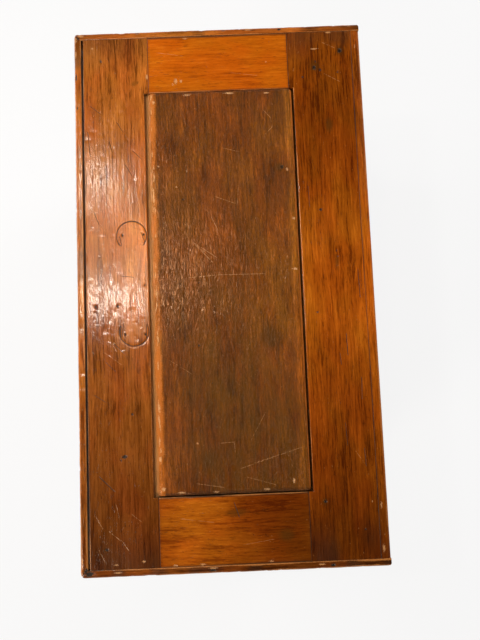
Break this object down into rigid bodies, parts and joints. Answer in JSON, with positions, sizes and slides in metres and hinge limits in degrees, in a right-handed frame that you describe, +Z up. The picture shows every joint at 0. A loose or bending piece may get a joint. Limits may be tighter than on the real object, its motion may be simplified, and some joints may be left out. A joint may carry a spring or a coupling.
{
  "type": "blanket chest",
  "caption": "Pine blanket chest on bracket feet: dovetailed case, inner till, till-side storage and a hinged frame-and-panel lid with lip moulding and a chest lock.",
  "frame": {"origin": "centre of the bounding box in plan, on the floor under the feet", "axes": "+X along the chest's length to its right end, front faces -Y, +Y to the hinged back, +Z up"},
  "size_m": [1, 0.543, 0.605],
  "materials": {
    "lid_pine": "aged orange-brown shellac, semi-gloss, scratched and worn on edges",
    "case_pine": "aged orange-brown shellac, satin",
    "bare_pine": "unfinished pine, darkened with age",
    "hinge_iron": "dark cast iron, lightly rusted",
    "lock_iron": "dark forged iron, lightly rusted",
    "fastener_iron": "dark iron, rusted"
  },
  "bodies": {
    "case": {"back_board": "case_pine", "base_moulding_front": "case_pine", "base_moulding_left": "case_pine", "base_moulding_nails": "fastener_iron", "base_moulding_right": "case_pine", "bottom_nails": "fastener_iron", "bottom_plank_1": "bare_pine", "bottom_plank_2": "bare_pine", "bottom_plank_3": "bare_pine", "foot_back_left_block": "bare_pine", "foot_back_left_brace": "case_pine", "foot_back_left_side": "case_pine", "foot_back_right_block": "bare_pine", "foot_back_right_brace": "case_pine", "foot_back_right_side": "case_pine", "foot_front_left_block": "bare_pine", "foot_front_left_face": "case_pine", "foot_front_left_side": "case_pine", "foot_front_right_block": "bare_pine", "foot_front_right_face": "case_pine", "foot_front_right_side": "case_pine", "front_board": "case_pine", "hinge_case_screws": "fastener_iron", "hinge_left_lower_leaf": "hinge_iron", "hinge_left_pin": "hinge_iron", "hinge_right_lower_leaf": "hinge_iron", "hinge_right_pin": "hinge_iron", "left_end_board": "case_pine", "lock_case": "lock_iron", "lock_screws": "fastener_iron", "right_end_board": "case_pine", "till_bottom": "bare_pine", "till_front": "bare_pine"},
    "lid": {"hinge_left_upper_leaf": "hinge_iron", "hinge_lid_screws": "fastener_iron", "hinge_right_upper_leaf": "hinge_iron", "lid_back_stile": "lid_pine", "lid_front_moulding": "lid_pine", "lid_front_stile": "lid_pine", "lid_left_moulding": "lid_pine", "lid_left_rail": "lid_pine", "lid_moulding_nails": "fastener_iron", "lid_panel": "lid_pine", "lid_right_moulding": "lid_pine", "lid_right_rail": "lid_pine", "lock_strike": "lock_iron", "strike_screws": "fastener_iron"},
    "bolt": {"lock_bolt": "lock_iron"}
  },
  "joints": [
    {"name": "lid_hinge", "type": "hinge", "parent": "case", "child": "lid", "pos_m": [0, 0.2605, 0.58], "axis": [-1, 0, 0], "range_deg": [0, 102]},
    {"name": "bolt_slide", "type": "slide", "parent": "case", "child": "bolt", "axis": [1, 0, 0], "range_m": [0, 0.014]}
  ]
}
